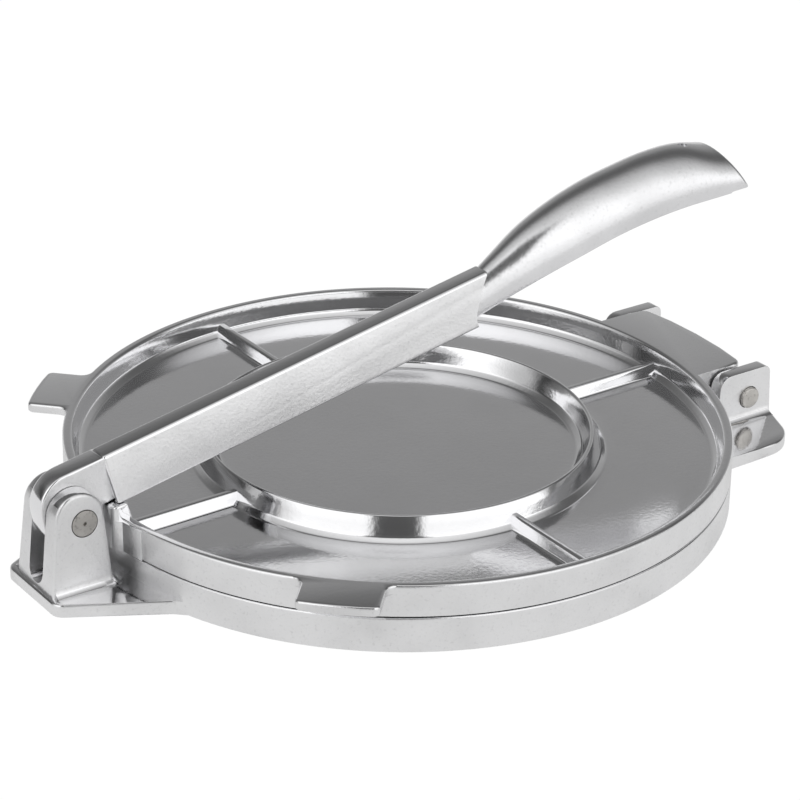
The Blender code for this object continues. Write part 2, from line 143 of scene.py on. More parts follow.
def face_angles(mesh):
    """For each edge key, the angle between its two faces, or a half turn at an open edge."""
    faces = {}
    for face in mesh.polygons:
        for key in face.edge_keys:
            faces.setdefault(key, []).append(face.normal)
    return {
        key: normals[0].angle(normals[1], 0.0) if len(normals) == 2 else math.pi
        for key, normals in faces.items()
    }


def bevel(thing, width, pick=lambda a, b: True, segments=3, sharp=SHARP, profile=0.5):
    """Rounds the sharp edges whose two ends satisfy pick. A low profile hollows them instead."""
    activate(thing)
    bpy.context.tool_settings.mesh_select_mode = (False, True, False)
    mesh = thing.data
    angles = face_angles(mesh)
    limit = math.radians(sharp)
    for group in (mesh.vertices, mesh.edges, mesh.polygons):
        group.foreach_set("select", [False] * len(group))
    for edge in mesh.edges:
        a, b = (mesh.vertices[i].co for i in edge.vertices)
        edge.select = angles.get(tuple(sorted(edge.vertices)), 0) > limit and pick(a, b)
    bpy.ops.object.mode_set(mode="EDIT")
    bpy.ops.mesh.bevel(
        offset=width, segments=segments, profile=profile, affect="EDGES", clamp_overlap=True
    )
    bpy.ops.object.mode_set(mode="OBJECT")
    return thing


def unite(target, tool, operation="UNION"):
    """Joins tool into target, or cuts it away, and removes it."""
    activate(target)
    boolean = target.modifiers.new("join", "BOOLEAN")
    boolean.operation = operation
    boolean.solver = "EXACT"
    boolean.object = tool
    bpy.ops.object.modifier_apply(modifier=boolean.name)
    bpy.data.objects.remove(tool)


def rod(name, radius, low, high, centre, steps=48):
    """A cylinder along Y with its axis at centre (x, z)."""
    activate(None)
    place = (centre[0], (low + high) / 2, centre[1])
    turn = (math.pi / 2, 0.0, 0.0)
    bpy.ops.mesh.primitive_cylinder_add(
        vertices=steps, radius=radius, depth=high - low, location=place, rotation=turn
    )
    thing = bpy.context.object
    thing.name = thing.data.name = name
    bpy.ops.object.transform_apply(location=True, rotation=True, scale=True)
    return settle(thing)


# %% [markdown]
# ## The plates
# Both plates are shallow pans cast with a rim, a raised ring and four ribs. A lathe shape is
# spun from its profile, so the casting's draft and fillets are drawn once. The profile turns in
# fine steps where a rib will stand and in coarse ones between.

# %% The plates' sizes
PLATE_RADIUS = 101.5 * MM
BASE_HEIGHT = 11.1 * MM
TOP_FACE = 11.4 * MM
TOP_RIM = 21.4 * MM
WEB = 2.1 * MM
FACE_EDGE = 0.6 * MM
RIM_EDGE = 0.9 * MM
RIM_INNER = 98.6 * MM
RIM_ROUND = 1.0 * MM
RIM_FOOT = 97.0 * MM
RIM_TOE = 1.5 * MM
RIM_CLIMB = 0.28 * MM
RING_FEET = (55.6 * MM, 62.2 * MM)
RING_TOE = 1.25 * MM
RING_CLIMB = 0.55 * MM
RING_CREST = (58.4 * MM, 59.4 * MM)
RING_DROP = 0.8 * MM
RING_ROUND = 0.7 * MM
FOOT_RISE = 1.4 * MM
FOOT_FILLET = 1.8 * MM
LONGEST_STEP = 3 * MM
LEVER_LINE = -1.25 * MM
SHIFT = 1.3 * MM
INSIDE = PLATE_RADIUS - 1.45 * MM


# %% The plates' profile
def between(start, end):
    """Evenly spaced points that part a long stretch of a profile."""
    span = math.hypot(end[0] - start[0], end[1] - start[1])
    pieces = max(1, round(span / LONGEST_STEP))
    shares = [piece / pieces for piece in range(1, pieces)]
    return [tuple(a + (b - a) * share for a, b in zip(start, end)) for share in shares]


def pan_profile(face, rim):
    """(radius, z) from the axis on the hollow side, over ring and rim, to the axis again."""
    up = math.copysign(1.0, rim - face)
    floor = face + up * WEB
    ring_top = rim - up * RING_DROP
    toe = floor + up * FOOT_RISE
    corners = [
        (0.0, floor, 0),
        (RING_FEET[0] - RING_TOE, floor, FOOT_FILLET),
        (RING_FEET[0] + RING_CLIMB, toe, FOOT_FILLET),
        (RING_CREST[0], ring_top, RING_ROUND),
        (RING_CREST[1], ring_top, RING_ROUND),
        (RING_FEET[1] - RING_CLIMB, toe, FOOT_FILLET),
        (RING_FEET[1] + RING_TOE, floor, FOOT_FILLET),
        (RIM_FOOT - RIM_TOE, floor, FOOT_FILLET),
        (RIM_FOOT + RIM_CLIMB, toe, FOOT_FILLET),
        (RIM_INNER, rim, RIM_ROUND),
        (PLATE_RADIUS, rim, RIM_EDGE),
        (PLATE_RADIUS, face, FACE_EDGE),
        (0.0, face, 0),
    ]
    points = []
    for point in rounded(corners, steps=5, closed=False):
        if points:
            points += between(points[-1], point)
        points.append(point)
    return points


# %% Spinning the plates
FINE_SECTOR = math.radians(15)
FINE_STEPS = 36
COARSE_STEPS = 40
SEAM = 2e-6


def spun_plate(name, profile):
    """The profile spun about Z, sector by sector, starting half a fine sector before +X."""
    start = -FINE_SECTOR / 2
    thing = draw(name, [(r * math.cos(start), r * math.sin(start), z) for r, z in profile])
    for quarter in range(4):
        for angle, steps in ((FINE_SECTOR, FINE_STEPS), (math.pi / 2 - FINE_SECTOR, COARSE_STEPS)):
            bpy.ops.mesh.spin(steps=steps, angle=angle, center=(0, 0, 0), axis=(0, 0, 1))
    bpy.ops.mesh.select_all(action="SELECT")
    bpy.ops.mesh.remove_doubles(threshold=SEAM)
    bpy.ops.mesh.normals_make_consistent(inside=False)
    print(name, "spun from", len(profile), "points")
    return activate(thing)


top = spun_plate("pressed_top", pan_profile(TOP_FACE, TOP_RIM))
base = spun_plate("pressed_base", pan_profile(BASE_HEIGHT, 0.0))

# %% [markdown]
# The ribs are narrow upright ridges from the ring to the rim, and would meet a little off the
# plate's middle. Each is drawn in section with its drafted flanks, rounded top and the fillets
# at its feet, and begins a hair under the pan.

# %% Ribs
RIB_TURN = math.radians(0.7)
RIB_CENTRE = (-1.6 * MM, -3.35 * MM)
RIB_ENDS = (59.0 * MM, 99.7 * MM)
RIB_HEIGHT = 3.7 * MM
RIB_TOP_HALF = 1.0 * MM
RIB_FOOT_HALF = 2.5 * MM
RIB_ROUND = 0.8 * MM
RIB_FILLET = 1.1 * MM
RIB_SINK = 0.02 * MM
RIB_ROOT = 0.7 * MM


def rib(name, face, rim, quarter):
    """One rib of a pan, turned about the point where the four ribs would meet."""
    up = math.copysign(1.0, rim - face)
    floor = face + up * (WEB - RIB_SINK)
    crest = floor + up * RIB_HEIGHT
    low = floor - up * RIB_ROOT
    toe = RIB_FOOT_HALF + RIB_FILLET
    corners = [
        (-toe, low, 0),
        (-toe, floor, 0),
        (-RIB_FOOT_HALF, floor, RIB_FILLET),
        (-RIB_TOP_HALF, crest, RIB_ROUND),
        (RIB_TOP_HALF, crest, RIB_ROUND),
        (RIB_FOOT_HALF, floor, RIB_FILLET),
        (toe, floor, 0),
        (toe, low, 0),
    ]
    turn = RIB_TURN + quarter * math.pi / 2
    offset = RIB_CENTRE[0] * math.cos(turn) + RIB_CENTRE[1] * math.sin(turn)
    start, end = (reach - offset for reach in RIB_ENDS)
    made = prism(name, rounded(corners, 5), start, end, "section")
    made.rotation_euler.z = turn
    made.location = (*RIB_CENTRE, 0.0)
    activate(made)
    bpy.ops.object.transform_apply(location=True, rotation=True)
    return settle(made)


for quarter in range(4):
    unite(top, rib("top_rib", TOP_FACE, TOP_RIM, quarter))
    unite(base, rib("base_rib", BASE_HEIGHT, 0.0, quarter))

# %% [markdown]
# ## Finger tabs, pad and hinge leaf
# The top plate carries two finger tabs, a sloped pad under the lever's heel and a wide leaf for
# the hinge. Each outline is drawn flat with the fillets where it leaves the round wall, and its
# free edges are bevelled before it becomes one with the plate.

# %% Finger tabs
TABS = (("front_tab", 47), ("rear_tab", -45))
TAB_HALF = 11.8 * MM
TAB_REACH = 114.1 * MM
TAB_THICKNESS = 3.0 * MM
TAB_FILLET = 3.0 * MM
TAB_CORNER = 2.0 * MM
TAB_EDGE = 0.8 * MM


def beyond_wall(a, b):
    """Whether an edge lies outside the plate's round wall."""
    return min(math.hypot(*a.xy), math.hypot(*b.xy)) > PLATE_RADIUS - 0.05 * MM


def wall_spread(half_width):
    """Half the angle of the arc inside the wall that closes an outline of this half width."""
    return math.asin(half_width / INSIDE)


def finger_tab(name, degrees):
    """A tab with a bowed end, drawn towards -X and then turned about the plate's axis."""
    wide = TAB_HALF + TAB_FILLET
    centre_x = -math.sqrt((PLATE_RADIUS + TAB_FILLET) ** 2 - wide**2)
    start = math.atan2(-wide, -centre_x)
    edge = arc((centre_x, wide), TAB_FILLET, start, -math.pi / 2, 6)
    end_x = -math.sqrt(TAB_REACH**2 - TAB_HALF**2)
    corners = [(centre_x, TAB_HALF, 0), (end_x, TAB_HALF, TAB_CORNER), (-TAB_REACH, 0.0, 0)]
    edge += rounded(corners)[1:-1]
    edge.append((-math.sqrt(TAB_REACH**2 - (TAB_HALF / 2) ** 2), TAB_HALF / 2))
    outline = edge + [(-TAB_REACH, 0.0)] + [(x, -y) for x, y in edge[::-1]]
    spread = wall_spread(wide)
    outline += arc((0, 0), INSIDE, math.pi + spread, math.pi - spread, 9)
    made = prism(name, outline, TOP_RIM - TAB_THICKNESS, TOP_RIM, "plan")
    bevel(made, TAB_EDGE, beyond_wall)
    made.rotation_euler.z = math.radians(degrees)
    bpy.ops.object.transform_apply(rotation=True)
    return settle(made)


settle(top)
for name, degrees in TABS:
    unite(top, finger_tab(name, degrees))

# %% Pad under the heel
PIVOT_REACH = 114.6 * MM
PIVOT_HEIGHT = 24.8 * MM
TILT = math.radians(10.8)
BAR_BOTTOM = 1.5 * MM
HEEL_GAP = 0.3 * MM
PAD_HALF = 7.3 * MM
PAD_END = -104.0 * MM
PAD_SHOULDER = -99.1 * MM
PAD_INNER = -96.5 * MM
PAD_INNER_RISE = 5.8 * MM
PAD_CORNER = 1.8 * MM
PAD_EDGE = 0.7 * MM
PAD_FILLET = 9.0 * MM
PAD_SWEEP = (0.42, 0.12)
PAD_STEP = 0.5 * MM
ROOT_EDGE = 0.6 * MM


def pad_top(x):
    """The pad's top lies a small gap under the lever's heel."""
    drop = (BAR_BOTTOM + HEEL_GAP) / math.cos(TILT)
    return PIVOT_HEIGHT + (x + PIVOT_REACH) * math.tan(TILT) - drop


def shifted(outline):
    """The outline moved onto the lever's line."""
    return [(x, y + LEVER_LINE) for x, y in outline]


wide = PAD_HALF + PAD_FILLET
wall = math.sqrt(PLATE_RADIUS**2 - wide**2)
side_wall = math.sqrt(PLATE_RADIUS**2 - PAD_HALF**2)
flank = [
    (-wall, wide),
    (-(wall + side_wall) / 2 - PAD_STEP, PAD_HALF + PAD_FILLET * PAD_SWEEP[0]),
    (-side_wall - PAD_STEP, PAD_HALF + PAD_FILLET * PAD_SWEEP[1]),
    (PAD_END + PAD_STEP, PAD_HALF - PAD_STEP),
]
flank = shifted(flank + [(x, -y) for x, y in flank[::-1]])
spread = wall_spread(wide)
flank += arc((0, 0), INSIDE, math.pi + spread, math.pi - spread, 9)
root = prism("pad_root", flank, TOP_FACE, TOP_RIM - PAD_STEP, "plan")
bevel(root, ROOT_EDGE, beyond_wall)
unite(top, root)
block = [
    (PAD_END, TOP_FACE + PAD_STEP),
    (PAD_SHOULDER, TOP_FACE + PAD_STEP),
    (PAD_INNER, TOP_FACE + WEB),
    (PAD_INNER, TOP_FACE + PAD_INNER_RISE),
    (PAD_SHOULDER, pad_top(PAD_SHOULDER)),
    (PAD_END, pad_top(PAD_END)),
]
pad = prism("pad", block, LEVER_LINE - PAD_HALF, LEVER_LINE + PAD_HALF, "side")
upright = 3 * MM
bevel(pad, PAD_CORNER, lambda a, b: max(a.x, b.x) < PAD_END + 0.1 * MM and abs(a.z - b.z) > upright, 5)
bevel(pad, PAD_EDGE, lambda a, b: min(a.z, b.z) > TOP_FACE + WEB + 0.1 * MM)
unite(top, pad)

# %% Hinge leaf and its barrel
HINGE_REACH = 115.0 * MM
HINGE_HEIGHT = 11.3 * MM
HINGE_PIN = 3.5 * MM
PIN_CLEARANCE = 0.2 * MM
LEAF_HALF = 24.5 * MM
LEAF_BOW = (115.9 * MM, 117.5 * MM, 118.0 * MM)
LEAF_CORNER = 3.5 * MM
LEAF_EDGE = 0.9 * MM
BARREL = 6.3 * MM
BARREL_INSET = 0.1 * MM
BARREL_EDGE = 0.5 * MM
LEAF_BORES = (11.5 * MM, 25.5 * MM)
spread = wall_spread(LEAF_HALF)
ends = INSIDE * math.cos(spread)
leaf_corners = [
    (ends, -LEAF_HALF, 0),
    (LEAF_BOW[0], -LEAF_HALF, LEAF_CORNER),
    (LEAF_BOW[1], -LEAF_HALF / 2, 0),
    (LEAF_BOW[2], 0.0, 0),
    (LEAF_BOW[1], LEAF_HALF / 2, 0),
    (LEAF_BOW[0], LEAF_HALF, LEAF_CORNER),
    (ends, LEAF_HALF, 0),
]
outline = rounded(leaf_corners) + arc((0, 0), INSIDE, spread, -spread, 11)[1:-1]
leaf = prism("leaf", outline, TOP_FACE, TOP_RIM, "plan")
bevel(leaf, LEAF_EDGE, beyond_wall)
unite(top, leaf)
axis = (HINGE_REACH, HINGE_HEIGHT)
barrel = rod("barrel", BARREL, BARREL_INSET - LEAF_HALF, LEAF_HALF - BARREL_INSET, axis, 64)
bevel(barrel, BARREL_EDGE)
unite(top, barrel)
for side in (-1, 1):
    low, high = sorted(side * reach for reach in LEAF_BORES)
    unite(top, rod("pin_bore", HINGE_PIN + PIN_CLEARANCE, low, high, axis), "DIFFERENCE")
print("top plate has", len(top.data.polygons), "faces")

# %% [markdown]
# ## Clevis and hinge ears
# The base carries a clevis on a tapered flange at one end, and two ears on a broad flange at
# the other. The clevis is an arch in side view, leans in towards its top and is parted by a
# round-bottomed slot for the lever. Concave fillets run along the feet.

# %% Clevis flange and arch
FLANGE_EDGE = 0.7 * MM
FLANGE_TOP = 4.2 * MM
FLANGE_ROOT = (-98.3 * MM, 29.7 * MM)
FLANGE_NOSE = (-127.3 * MM, 14.0 * MM)
FLANGE_CORNER = 4.0 * MM
FLANGE_SPREAD = 35.2 * MM
CLEVIS_END = -126.1 * MM
CLEVIS_LENGTH = 20.1 * MM
CLEVIS_HALF = 11.0 * MM
CLEVIS_DRAFT = 1.3 * MM
CLEVIS_EDGE = 1.1 * MM
ARCH_TOE = 2.4 * MM
ARCH_RADIUS = 7.8 * MM
ARCH_HEIGHT = 26.3 * MM
clevis_corners = [
    (FLANGE_ROOT[0], FLANGE_ROOT[1], 0),
    (FLANGE_NOSE[0], FLANGE_NOSE[1], FLANGE_CORNER),
    (FLANGE_NOSE[0], -FLANGE_NOSE[1], FLANGE_CORNER),
    (FLANGE_ROOT[0], -FLANGE_ROOT[1], 0),
]
spread = wall_spread(FLANGE_SPREAD)
outline = shifted(rounded(clevis_corners))
outline += arc((0, 0), INSIDE, math.pi + spread, math.pi - spread, 13)
flange = prism("clevis_flange", outline, 0.0, FLANGE_TOP, "plan")
bevel(flange, FLANGE_EDGE, beyond_wall)

arch_centre = (CLEVIS_END + ARCH_TOE + ARCH_RADIUS, ARCH_HEIGHT)
outline = [(CLEVIS_END, FLANGE_TOP / 2)] + arc(arch_centre, ARCH_RADIUS, math.pi, 0.0, 24)
outline.append((CLEVIS_END + CLEVIS_LENGTH, FLANGE_TOP / 2))
clevis = prism("clevis", outline, LEVER_LINE - CLEVIS_HALF, LEVER_LINE + CLEVIS_HALF, "side")
for vertex in clevis.data.vertices:
    draft = CLEVIS_DRAFT * vertex.co.z / ARCH_HEIGHT
    vertex.co.y -= math.copysign(draft, vertex.co.y - LEVER_LINE)
bevel(clevis, CLEVIS_EDGE, lambda a, b: max(a.z, b.z) > FLANGE_TOP, 4)
unite(clevis, flange)

# %% Clevis skirt, slot and bore
SKIRT_FILLET = 3.0 * MM
SKIRT_SINK = 1.5 * MM
SKIRT_INSET = 0.38 * MM
SKIRT_ENDS = (0.9 * MM, 19.65 * MM)
HOLLOW_PROFILE = 0.086
HOLLOW_STEPS = 8
SLOT_HALF = 3.9 * MM
SLOT_FLOOR = 5.0 * MM
SLOT_TOP = 36 * MM
LEVER_PIN = 4.0 * MM
BORE_HALF = 12 * MM
half = CLEVIS_HALF - SKIRT_INSET + SKIRT_FILLET
left, right = CLEVIS_END + SKIRT_ENDS[0], CLEVIS_END + SKIRT_ENDS[1] + SKIRT_FILLET
skirt_corners = [
    (left, -half, 0),
    (right, -half, SKIRT_FILLET + CLEVIS_EDGE),
    (right, half, SKIRT_FILLET + CLEVIS_EDGE),
    (left, half, 0),
]
outline = shifted(rounded(skirt_corners))
skirt = prism("skirt", outline, FLANGE_TOP - SKIRT_SINK, FLANGE_TOP + SKIRT_FILLET, "plan")
bevel(
    skirt,
    SKIRT_FILLET - 0.03 * MM,
    lambda a, b: min(a.z, b.z) > FLANGE_TOP + MM and max(a.x, b.x) > left + MM,
    HOLLOW_STEPS,
    profile=HOLLOW_PROFILE,
)
unite(clevis, skirt)

slot = arc((LEVER_LINE, SLOT_FLOOR + SLOT_HALF), SLOT_HALF, math.pi, 2 * math.pi, 16)
slot += [(LEVER_LINE + SLOT_HALF, SLOT_TOP), (LEVER_LINE - SLOT_HALF, SLOT_TOP)]
cut = prism("clevis_slot", slot, CLEVIS_END - MM, CLEVIS_END + CLEVIS_LENGTH + MM, "section")
unite(clevis, cut, "DIFFERENCE")
axis = (-PIVOT_REACH, PIVOT_HEIGHT)
low, high = LEVER_LINE - BORE_HALF, LEVER_LINE + BORE_HALF
unite(clevis, rod("pin_bore", LEVER_PIN + PIN_CLEARANCE, low, high, axis), "DIFFERENCE")
unite(settle(base), clevis)

# %% Hinge flange
EAR_INNER = 25.2 * MM
EAR_OUTER = 29.7 * MM
EAR_FLANGE_TOP = 4.0 * MM
EAR_FLANGE_HALF = 48.7 * MM
EAR_FLANGE_SHOULDER = 117.6 * MM
EAR_FLANGE_CORNER = 13 * MM
FLANGE_END = 124.7 * MM
spread = wall_spread(EAR_FLANGE_HALF)
ends = INSIDE * math.cos(spread)
flange_corners = [
    (ends, -EAR_FLANGE_HALF, 0),
    (EAR_FLANGE_SHOULDER, -EAR_FLANGE_HALF, EAR_FLANGE_CORNER),
    (FLANGE_END, -EAR_OUTER, 0),
    (FLANGE_END, EAR_OUTER, 0),
    (EAR_FLANGE_SHOULDER, EAR_FLANGE_HALF, EAR_FLANGE_CORNER),
    (ends, EAR_FLANGE_HALF, 0),
]
outline = rounded(flange_corners, 14) + arc((0, 0), INSIDE, spread, -spread, 17)[1:-1]
hinge = prism("hinge_flange", outline, 0.0, EAR_FLANGE_TOP, "plan")
bevel(hinge, FLANGE_EDGE, beyond_wall)

# %% Ears
EAR_BACK = 103.0 * MM
EAR_FRONT = 123.3 * MM
EAR_TOP = 20.5 * MM
EAR_BACK_ROUND = 4.5 * MM
EAR_FRONT_ROUND = 2.4 * MM
EAR_EDGE = 0.6 * MM
EAR_FILLET = 3 * MM
EAR_ROOT = 1.5 * MM
EAR_FRONT_STEP = 0.5 * MM
EAR_NECK = 100.0 * MM
EAR_BORE_HALF = 30.7 * MM
join = math.sqrt(INSIDE**2 - EAR_OUTER**2) - EAR_ROOT
joint_top = BASE_HEIGHT - 1.2 * MM
ear = [
    (join, EAR_FLANGE_TOP / 2, 0),
    (FLANGE_END - EAR_FRONT_STEP, EAR_FLANGE_TOP / 2, 0),
    (FLANGE_END - EAR_FRONT_STEP, EAR_FLANGE_TOP, 0),
    (EAR_FRONT, EAR_TOP, EAR_FRONT_ROUND),
    (EAR_BACK, EAR_TOP, EAR_BACK_ROUND),
    (EAR_BACK, joint_top + EAR_FILLET, 0),
    (EAR_NECK, joint_top, 0),
    (join, joint_top, 0),
]


def ear_foot(side):
    """The concave fillet between an ear's outer face and the flange's top."""
    face_y, low = side * EAR_OUTER, EAR_FLANGE_TOP - EAR_ROOT
    far_y, high = face_y + side * EAR_FILLET, EAR_FLANGE_TOP + EAR_FILLET
    start = -math.pi / 2
    section = [(face_y - side * EAR_ROOT, low), (far_y, low)]
    section += arc((far_y, high), EAR_FILLET, start, start - side * math.pi / 2, 8)
    section.append((face_y - side * EAR_ROOT, high))
    return prism("ear_foot", section, join + EAR_ROOT, EAR_FRONT, "section")


for side in (-1, 1):
    low, high = sorted((side * EAR_INNER, side * EAR_OUTER))
    plate = prism("ear", rounded(ear), low, high, "side")
    bevel(plate, EAR_EDGE, lambda a, b: min(a.z, b.z) > EAR_FLANGE_TOP)
    unite(hinge, plate)
    unite(hinge, ear_foot(side))
axis = (HINGE_REACH, HINGE_HEIGHT)
bore = rod("pin_bore", HINGE_PIN + PIN_CLEARANCE, -EAR_BORE_HALF, EAR_BORE_HALF, axis)
unite(hinge, bore, "DIFFERENCE")
unite(settle(base), hinge)
print("base has", len(base.data.polygons), "faces")

# %% [markdown]
# ## The lever
# The lever is one casting: a round knuckle that turns in the clevis, a channel-shaped bar whose
# sides lean in, and a hollow grip like an upturned spoon. It is drawn lying level about its pin
# and then tilted to where it rests on the pad.

# %% Knuckle
BAR_START = 12.6 * MM
BAR_END = 149.0 * MM
BAR_TOP = 13.2 * MM
KNUCKLE_HALF = 3.6 * MM
KNUCKLE = 9.9 * MM
KNUCKLE_EDGE = 0.8 * MM
NECK_ROOT = 1.5 * MM
NECK_STEP = 0.05 * MM
under = math.atan2(-BAR_BOTTOM, math.sqrt(KNUCKLE**2 - BAR_BOTTOM**2))
outline = arc((0.0, BAR_TOP - KNUCKLE), KNUCKLE, math.pi / 2, math.pi, 12)
outline += arc((0.0, 0.0), KNUCKLE, math.pi, 2 * math.pi + under, 20)
neck = BAR_START + NECK_ROOT
outline += [
    (BAR_START, -BAR_BOTTOM),
    (neck, NECK_ROOT - BAR_BOTTOM),
    (neck, BAR_TOP - NECK_ROOT),
    (BAR_START, BAR_TOP - NECK_STEP),
]
lever = prism("pressing_lever", outline, -KNUCKLE_HALF, KNUCKLE_HALF, "side")
bevel(lever, KNUCKLE_EDGE, lambda a, b: max(a.x, b.x) < BAR_START + 0.1 * MM)

# %% Bar
BAR_TOP_HALF = 3.4 * MM
BAR_TOP_HALF_AT_END = 3.1 * MM
BAR_BOTTOM_HALF = 6.8 * MM
BAR_EDGE = 0.9 * MM
BAR_WALL = 2.2 * MM
HEEL_LENGTH = 12 * MM
BAR_WIDEST = 14 * MM
END_CURVE = ((0.0, 0.0), (2.7, 3.1), (5.9, 7.4), (7.6, 10.2), (8.5, 12.6))
END_FOOT = 8.3 * MM


def bar_section(inset):
    """The bar's section, or that of the channel inside its wall, open below."""
    low = -BAR_BOTTOM - (MM if inset else 0.0)
    high, top_half, bottom_half = BAR_TOP - inset, BAR_TOP_HALF - inset, BAR_BOTTOM_HALF - inset
    return [(-bottom_half, low), (bottom_half, low), (top_half, high), (-top_half, high)]


bar = prism("bar", bar_section(0.0), BAR_START, BAR_END, "section")
for vertex in bar.data.vertices:
    if vertex.co.z > 0 and vertex.co.x > BAR_START + MM:
        vertex.co.y *= BAR_TOP_HALF_AT_END / BAR_TOP_HALF
bevel(bar, BAR_EDGE, segments=4)
channel = prism("channel", bar_section(BAR_WALL), BAR_START + HEEL_LENGTH, BAR_END + MM, "section")
unite(bar, channel, "DIFFERENCE")
slant = [(BAR_END, BAR_TOP + MM)]
slant += [(BAR_END - back * MM, BAR_TOP - down * MM) for back, down in END_CURVE]
slant += [
    (BAR_END - END_FOOT, -BAR_BOTTOM),
    (BAR_END - END_FOOT, -BAR_BOTTOM - MM),
    (BAR_END + MM, -BAR_BOTTOM - MM),
    (BAR_END + MM, BAR_TOP + MM),
]
unite(bar, prism("slant", slant, -BAR_WIDEST, BAR_WIDEST, "side"), "DIFFERENCE")
unite(lever, bar)

# %% Grip
GRIP_START = 140 * MM
GRIP_LENGTH = 103.5 * MM
GRIP_LEAN = 4.8 * MM
GRIP_RIM = 10.1 * MM
GRIP_CROWN = 25.12 * MM
GRIP_HALF = 13.0 * MM
GRIP_WALL = 2.4 * MM
GRIP_SHARP = 50
GRIP_EDGE = 0.7 * MM
GRIP_END_EDGE = 1.05 * MM
GRIP_END = 236 * MM
HANG_HOLE = 1.5 * MM
HANG_HOLE_PLACE = (228.6 * MM, 0.0, 25.3 * MM)
KNUCKLE_BORE_HALF = 4.6 * MM
CROWN_SHARES = (0.376, 0.593, 0.798, 0.921, 0.985, 1.0, 0.983, 0.905, 0.728)
RIM_SHARES = (0.08, 0.426, 0.713, 0.881, 1.0, 0.99, 0.90, 0.723, 0.535)
WIDTH_SHARES = (0.37, 0.57, 0.765, 0.869, 0.923, 0.938, 0.962, 0.985, 1.0)


def flowing(shares, place):
    """A smooth curve through evenly spaced shares, at a place from 0 to 1."""
    last = len(shares) - 1
    at = min(place * last, last - 1e-9)
    index = int(at)
    t = at - index
    before = shares[index - 1] if index else 2 * shares[0] - shares[1]
    after = shares[index + 2] if index + 2 <= last else 2 * shares[last] - shares[last - 1]
    a, b = shares[index], shares[index + 1]
    cubic = 1.5 * (a - b) + (after - before) / 2
    square = before - 2.5 * a + 2 * b - after / 2
    return a + t * ((b - before) / 2 + t * (square + t * cubic))


activate(None)
bpy.ops.mesh.primitive_grid_add(x_subdivisions=63, y_subdivisions=35, size=2)
grip = bpy.context.object
grip.name = grip.data.name = "grip"
for vertex in grip.data.vertices:
    share = (vertex.co.x + 1) / 2
    angle = math.pi * (vertex.co.y + 1) / 2
    lift = math.sin(angle)
    rim = GRIP_RIM * flowing(RIM_SHARES, share)
    crown = GRIP_CROWN * flowing(CROWN_SHARES, share)
    half = GRIP_HALF * flowing(WIDTH_SHARES, share)
    along = GRIP_START + GRIP_LENGTH * share - GRIP_LEAN * share**3 * lift
    vertex.co = (along, half * math.cos(angle), rim + (crown - rim) * lift)
bpy.ops.object.mode_set(mode="EDIT")
bpy.ops.mesh.select_all(action="SELECT")
bpy.ops.mesh.normals_make_consistent(inside=False)
bpy.ops.object.mode_set(mode="OBJECT")
if max(grip.data.polygons, key=lambda face: face.center.z).normal.z < 0:
    bpy.ops.object.mode_set(mode="EDIT")
    bpy.ops.mesh.flip_normals()
    bpy.ops.object.mode_set(mode="OBJECT")
wall = grip.modifiers.new("wall", "SOLIDIFY")
wall.thickness = GRIP_WALL
wall.offset = -1
wall.use_even_offset = True
bpy.ops.object.modifier_apply(modifier=wall.name)
bevel(grip, GRIP_END_EDGE, lambda a, b: min(a.x, b.x) > GRIP_END, 4, GRIP_SHARP)
bevel(grip, GRIP_EDGE, sharp=GRIP_SHARP)
activate(None)
bpy.ops.mesh.primitive_cylinder_add(
    vertices=32, radius=HANG_HOLE, depth=HANG_HOLE_PLACE[2], location=HANG_HOLE_PLACE
)
unite(grip, bpy.context.object, "DIFFERENCE")
unite(lever, grip)
bore = rod("pin_bore", LEVER_PIN + PIN_CLEARANCE, -KNUCKLE_BORE_HALF, KNUCKLE_BORE_HALF, (0.0, 0.0))
unite(lever, bore, "DIFFERENCE")

# %% Tilt the lever onto the pad
activate(lever)
lever.rotation_euler.y = -TILT
lever.location = (-PIVOT_REACH, LEVER_LINE, PIVOT_HEIGHT)
bpy.ops.object.transform_apply(location=True, rotation=True)
print("lever has", len(lever.data.polygons), "faces")

# %% [markdown]
# ## The pins
# Three plain steel pins, cut from rod, with their ends broken by a file. The lever's pin has a
# punch mark in its end.

# %% Pins
PIN_PROUD = 0.2 * MM
LEVER_PIN_EDGE = 0.15 * MM
PUNCH = 0.55 * MM
PUNCH_DEPTH = 0.8 * MM
HINGE_PIN_ENDS = (12.5 * MM, 30.9 * MM)
HINGE_PIN_EDGE = 0.6 * MM
pin_half = CLEVIS_HALF - CLEVIS_DRAFT * PIVOT_HEIGHT / ARCH_HEIGHT + PIN_PROUD
axis = (-PIVOT_REACH, PIVOT_HEIGHT)
near_end = LEVER_LINE - pin_half
lever_pin = rod("swivel_pin", LEVER_PIN, near_end, LEVER_LINE + pin_half, axis)
bevel(lever_pin, LEVER_PIN_EDGE)
punch = rod("punch", PUNCH, near_end - MM, near_end + PUNCH_DEPTH, axis, 16)
unite(lever_pin, punch, "DIFFERENCE")
pins = {"lever_pin": lever_pin}
axis = (HINGE_REACH, HINGE_HEIGHT)
for side, name in ((-1, "hinge_pin_right"), (1, "hinge_pin_left")):
    low, high = sorted(side * reach for reach in HINGE_PIN_ENDS)
    plain = rod(name.replace("hinge_pin", "plate_pin"), HINGE_PIN, low, high, axis)
    pins[name] = bevel(plain, HINGE_PIN_EDGE)
print("pins", sorted(pins))

# %% Move everything to the frame's own origin
SMOOTH = math.radians(32)
pieces = [top, base, lever, *pins.values()]
for piece in pieces:
    activate(piece)
    piece.location.x = SHIFT
    bpy.ops.object.transform_apply(location=True)
    bpy.ops.object.shade_smooth_by_angle(angle=SMOOTH)

# %% [markdown]
# ## Shader maths as Python
# A small class wraps a shader socket, so that an expression such as 1 - mask * 0.5 adds the
# Math nodes it needs. Any other node comes from one function.


